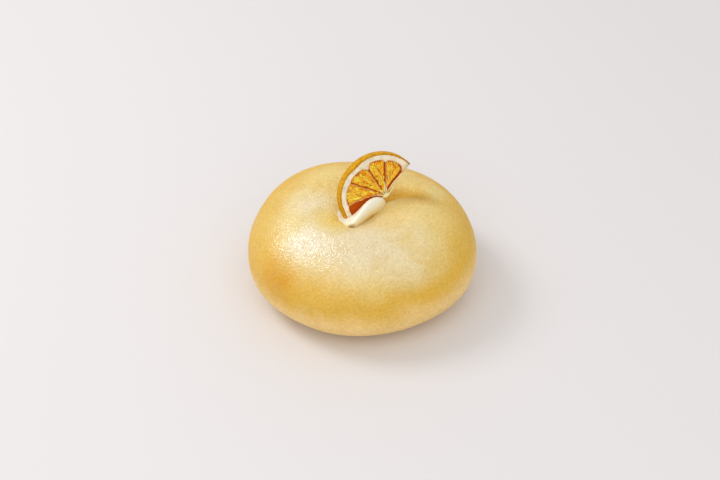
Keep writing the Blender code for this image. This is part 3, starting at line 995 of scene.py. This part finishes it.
# %% Juice sac tree: where they lie
SAC = {
    "Spacing": 0.78 * MM,
    "Length": 2.3 * MM,
    "Width": 1.05 * MM,
    "Thickness": 0.9 * MM,
    "Crumple": 0.5 * MM,
}
SAC_SWING = (3.5 * MM, 3.5 * MM, 1.5 * MM)
sac_tree, size = new_tree("juice_sacs", SAC)
spread = add(sac_tree, "GeometryNodeDistributePointsOnFaces", {
    "Mesh": size["Start"], "Distance Min": size["Spacing"], "Density Max": 6.0e6, "Seed": 3},
    distribute_method="POISSON")
here = add(sac_tree, "GeometryNodeInputPosition")
inwards = add(sac_tree, VECTOR_MATH, [here, (-1.0, -1.0, 0.0)], operation="MULTIPLY")
swing = add(sac_tree, "FunctionNodeRandomValue", {0: [-most for most in SAC_SWING], 1: SAC_SWING, "Seed": 7},
            data_type="FLOAT_VECTOR")
inwards = add(sac_tree, VECTOR_MATH, [inwards, swing], operation="ADD")
aim = add(sac_tree, "FunctionNodeAlignRotationToVector", {"Vector": inwards}, axis="X")
print("scattered and aimed:", len(sac_tree.nodes), "nodes")

# %% Juice sac tree: one sac on each point
ball = add(sac_tree, "GeometryNodeMeshUVSphere", {"Segments": 8, "Rings": 6, "Radius": 0.5})
spot = add(sac_tree, "GeometryNodeInputPosition")
taper = add(sac_tree, RANGE, {
    "Value": add(sac_tree, "ShaderNodeSeparateXYZ", [spot], out="X"),
    "From Min": -0.5, "From Max": 0.5, "To Min": 1.15, "To Max": 0.4})
teardrop = add(sac_tree, "GeometryNodeSetPosition", {"Geometry": ball, "Position": add(
    sac_tree, VECTOR_MATH, [spot, add(sac_tree, "ShaderNodeCombineXYZ", [1.0, taper, taper])],
    operation="MULTIPLY")})
dimensions = add(sac_tree, "ShaderNodeCombineXYZ", [size["Length"], size["Width"], size["Thickness"]])
grown = add(sac_tree, "FunctionNodeRandomValue", {2: 0.65, 3: 1.25, "Seed": 11}, out=1)
sac_size = add(sac_tree, VECTOR_MATH, {0: dimensions, "Scale": grown}, operation="SCALE")
placed = add(sac_tree, "GeometryNodeInstanceOnPoints", {
    "Points": spread, "Instance": teardrop, "Rotation": aim, "Scale": sac_size})
tone = add(sac_tree, "FunctionNodeRandomValue", {2: -0.6, 3: 0.8, "Seed": 5}, out=1)
tone = add(sac_tree, MATH, [tone, 0.0], operation="MAXIMUM")
toned = add(sac_tree, "GeometryNodeStoreNamedAttribute", {
    "Geometry": placed, "Name": "tone", "Value": tone}, domain="INSTANCE")
real_sacs = add(sac_tree, "GeometryNodeRealizeInstances", [toned])
print("with a sac on each point:", len(sac_tree.nodes), "nodes")

# %% Juice sac tree: crumple and grain
push = add(sac_tree, NOISE, {"Scale": per_metre(0.8 * MM), "Detail": 1.0}, out="Color")
push = add(sac_tree, VECTOR_MATH, [push, (0.5, 0.5, 0.5)], operation="SUBTRACT")
push = add(sac_tree, VECTOR_MATH, {0: push, "Scale": size["Crumple"]}, operation="SCALE")
crumpled = add(sac_tree, "GeometryNodeSetPosition", {"Geometry": real_sacs, "Offset": push})
in_plane = add(sac_tree, VECTOR_MATH, [spot, (1.0, 1.0, 0.0)], operation="MULTIPLY")
from_core = add(sac_tree, VECTOR_MATH, [in_plane], out="Value", operation="LENGTH")
across, upwards, through = add(sac_tree, "ShaderNodeSeparateXYZ", [spot]).node.outputs
# The way round is measured from straight up, so that it doesn't jump at the slice's left end.
leftwards = add(sac_tree, MATH, [across, -1.0], operation="MULTIPLY")
way_round = add(sac_tree, MATH, [leftwards, upwards], operation="ARCTAN2")
grain = add(sac_tree, "ShaderNodeCombineXYZ", [
    add(sac_tree, MATH, [from_core, GRAIN_STRETCH], operation="DIVIDE"),
    add(sac_tree, MATH, [way_round, GRAIN_RADIUS], operation="MULTIPLY"), through])
grained = add(sac_tree, "GeometryNodeStoreNamedAttribute", {
    "Geometry": crumpled, "Name": "grain", "Value": grain}, data_type="FLOAT_VECTOR")
end_tree(sac_tree, add(sac_tree, "GeometryNodeSetShadeSmooth", [grained]), size["Finish"])
print("whole sac tree:", len(sac_tree.nodes), "nodes")

# %% [markdown]
# The bed is the face of each segment that kept its sacs, on both sides of the slice, drawn in from its
# border by half a sac's width.

# %% Juice sacs
BED_INSET = 0.85 * MM
CUT_INSET = 2.4 * MM
BED_START = 2.0 * MM
BED_STEPS = 16
bm = bmesh.new()
marks = []
for first, last in zip(MEMBRANES[:-2], MEMBRANES[1:-1]):
    for lift in (FLOOR_HALF, -FLOOR_HALF):
        grid = []
        for across in range(BED_STEPS + 1):
            row = []
            for along in range(BED_STEPS + 1):
                angle = first + (last - first) * across / BED_STEPS
                outer_inset = BED_INSET + (CUT_INSET - BED_INSET) * bump_at(angle, CUT_FROM, 14.0)
                distance = BED_START + (flesh_edge(angle) - outer_inset - BED_START) * along / BED_STEPS
                inset = BED_INSET * narrowing(distance)
                start_inset = CUT_INSET if first == CUT_FROM else inset
                angle = max(angle, first + math.degrees(start_inset / distance))
                finish = torn_from(distance) if last == HOLLOW_FROM else last
                angle = min(angle, finish - math.degrees(inset / distance))
                row.append(bm.verts.new(polar(angle, distance, lift)))
                marks.append(edge_share(angle, distance))
            grid.append(row)
        for a, b in zip(grid, grid[1:]):
            for i in range(BED_STEPS):
                bm.faces.new((a[i], a[i + 1], b[i + 1], b[i]))
store(bm, "edge", marks)
bed = bpy.data.meshes.new("sac_bed")
bm.to_mesh(bed)
bm.free()
sacs = run_tree("juice_sacs", sac_tree, sac_material, start=bed)
bm = bmesh.new()
bm.from_mesh(sacs.data)
stand(bm)
bm.to_mesh(sacs.data)
bm.free()
keep_in_slice(sacs)

# %% [markdown]
# ### Membranes and fibres
#
# The walls between segments are thin papery sheets of orange buff that stand proud of the sunk flesh, each
# beside the dark groove of its segment. The wall of the emptied segment is torn: it rises higher and ends
# in a ragged edge. Each wall wanders a little on its way from the core to the pith. A wall is given by its
# angle, how far it is set aside in millimetres, and its height as a share of the slice's half thickness.

# %% Membranes
WALL_WIDTH = 0.55 * MM
WALL_START = 1.2 * MM
WALL_STEPS = 60
WALLS = ((CUT_FROM + 0.6, 0.0, 0.60), (82.5, -0.65, 0.92), (114.5, 0.45, 0.78), (148.0, 0.35, 0.70),
         (HOLLOW_FROM, 0.0, 0.92))
wall_material, tree, shader, place = new_material("dried_membrane", roughness=0.45, ior=1.45,
                                                  subsurface_weight=0.3, subsurface_scale=1.0 * MM)
buff = add(tree, NOISE, {"Vector": place, "Scale": per_metre(1.5 * MM), "Detail": 2.0})
buff = add(tree, RANGE, {"Value": buff, "From Min": 0.4, "From Max": 0.65})
buff = layered(tree, linear("#EFB468"), (buff, linear("#D98A30")))
tree.links.new(buff, shader.inputs["Base Color"])

bm = bmesh.new()
for number, (angle, shift, height) in enumerate(WALLS):
    torn = angle == HOLLOW_FROM
    way = polar(angle, 1.0)
    aside = Vector((-way.y, way.x, 0.0))
    far = flesh_edge(angle) + 0.3 * MM
    rings = []
    for step in range(WALL_STEPS + 1):
        distance = WALL_START + (far - WALL_START) * step / WALL_STEPS
        wander = (0.30 if torn else 0.18) * MM * rough(distance / MM, 7.0 * number, 2.2)
        bow = distance * math.radians(torn_from(distance) - HOLLOW_FROM) if torn else 0.0
        middle = way * distance + aside * (wander + bow + shift * MM)
        ragged = (0.35 if torn else 0.12) * rough(distance / MM, 3.0 * number, 0.8 if torn else 1.6)
        tall = min((HALF_THICK - 0.1 * MM) * (height - ragged), HALF_THICK - 0.05 * MM)
        lean = 0.25 * MM * rough(distance / MM, 5.0 * number, 1.2) if torn else 0.0
        rings.append([middle + Vector((0.0, 0.0, rise * tall))
                      + aside * (0.5 * side * WALL_WIDTH * (1.0 - 0.2 * abs(rise)) + lean * abs(rise))
                      for side, rise in ((-1, -1), (1, -1), (1, 0), (1, 1), (-1, 1), (-1, 0))])
    loft(bm, rings)
stand(bm)
membranes = object_from(bm, "lemon_membranes", wall_material)
keep_in_slice(membranes)

# %% [markdown]
# The core is a pale knot of fibres. Strands run from it up between the segments, out past the free cut and
# along it. A small tree turns drawn lines into strands: each line becomes a curve, gets a thickness that
# tapers to its ends, and is swept with a round profile.

# %% Fibre tree
fibre_tree, size = new_tree("fibres", {"Thickness": 0.27 * MM})
lines = add(fibre_tree, "GeometryNodeMeshToCurve", [size["Start"]])
lines = add(fibre_tree, "GeometryNodeCurveSplineType", [lines], spline_type="CATMULL_ROM")
lines = add(fibre_tree, "GeometryNodeResampleCurve", {"Curve": lines, "Count": 24})
along = add(fibre_tree, "GeometryNodeSplineParameter")
thin = add(fibre_tree, MATH, [add(fibre_tree, MATH, [along, math.pi], operation="MULTIPLY")],
           operation="SINE")
thin = add(fibre_tree, MATH, [thin, 0.75, 0.3], operation="MULTIPLY_ADD")
lines = add(fibre_tree, "GeometryNodeSetCurveRadius", {"Curve": lines, "Radius": thin})
profile = add(fibre_tree, "GeometryNodeCurvePrimitiveCircle", {
    "Resolution": 7, "Radius": size["Thickness"]})
strand = add(fibre_tree, "GeometryNodeCurveToMesh", {
    "Curve": lines, "Profile Curve": profile, "Fill Caps": True, "Scale": thin})
end_tree(fibre_tree, strand, size["Finish"])
print("fibre tree:", len(fibre_tree.nodes), "nodes")

# %% Fibres
FIBRES = (
    ((0.5, -0.2, 1.2), (1.6, 1.8, 1.5), (5.0, 4.8, 1.3), (8.5, 7.3, 1.4), (12.2, 10.0, 1.5)),
    ((0.8, -0.3, 1.4), (2.4, 0.6, 1.6), (4.2, 2.8, 1.5), (5.3, 4.4, 1.2)),
    ((0.6, -0.6, 1.6), (2.2, 0.2, 1.5), (3.6, 1.6, 1.2)),
    ((0.2, 0.4, 1.5), (0.0, 2.0, 1.6), (0.3, 4.2, 1.4), (0.6, 6.5, 1.2)),
    ((0.5, 0.3, 1.4), (0.8, 2.2, 1.6), (0.9, 4.4, 1.2)),
    ((-0.3, 0.3, 1.5), (-1.3, 1.6, 1.6), (-2.6, 3.6, 1.3)),
    ((-0.5, -0.2, 1.5), (-2.5, 0.4, 1.6), (-4.6, 0.9, 1.3)),
)
fibre_material = new_material("dried_core_fibre", base_color=linear("#FFF0B8"), roughness=0.55,
                              subsurface_weight=0.3, subsurface_scale=1.0 * MM)[0]
bm = bmesh.new()
for strand_points in FIBRES:
    for sign in (1.0, -1.0):
        line = [bm.verts.new((MM * x, MM * y, MM * lift * sign)) for x, y, lift in strand_points]
        for start, finish in zip(line, line[1:]):
            bm.edges.new((start, finish))
stand(bm)
drawn = bpy.data.meshes.new("fibre_lines")
bm.to_mesh(drawn)
bm.free()
fibres = run_tree("core_fibres", fibre_tree, fibre_material, start=drawn)
keep_in_slice(fibres)

# %% Core
KNOT_HALF_SIZE = (1.9 * MM, 1.5 * MM, HALF_THICK - 0.25 * MM)
KNOT_CENTRE = Vector((0.3 * MM, -0.4 * MM, 0.0))
bm = bmesh.new()
bmesh.ops.create_icosphere(bm, subdivisions=5, radius=1.0)
for vertex in bm.verts:
    lump = 1.0 + 0.30 * noise.noise(vertex.co * 2.7) + 0.12 * noise.noise(vertex.co * 7.0)
    vertex.co = Vector((vertex.co.x * KNOT_HALF_SIZE[0] * lump, vertex.co.y * KNOT_HALF_SIZE[1] * lump,
                        vertex.co.z * KNOT_HALF_SIZE[2])) + KNOT_CENTRE
stand(bm)
core = object_from(bm, "lemon_core", fibre_material)
keep_in_slice(core)
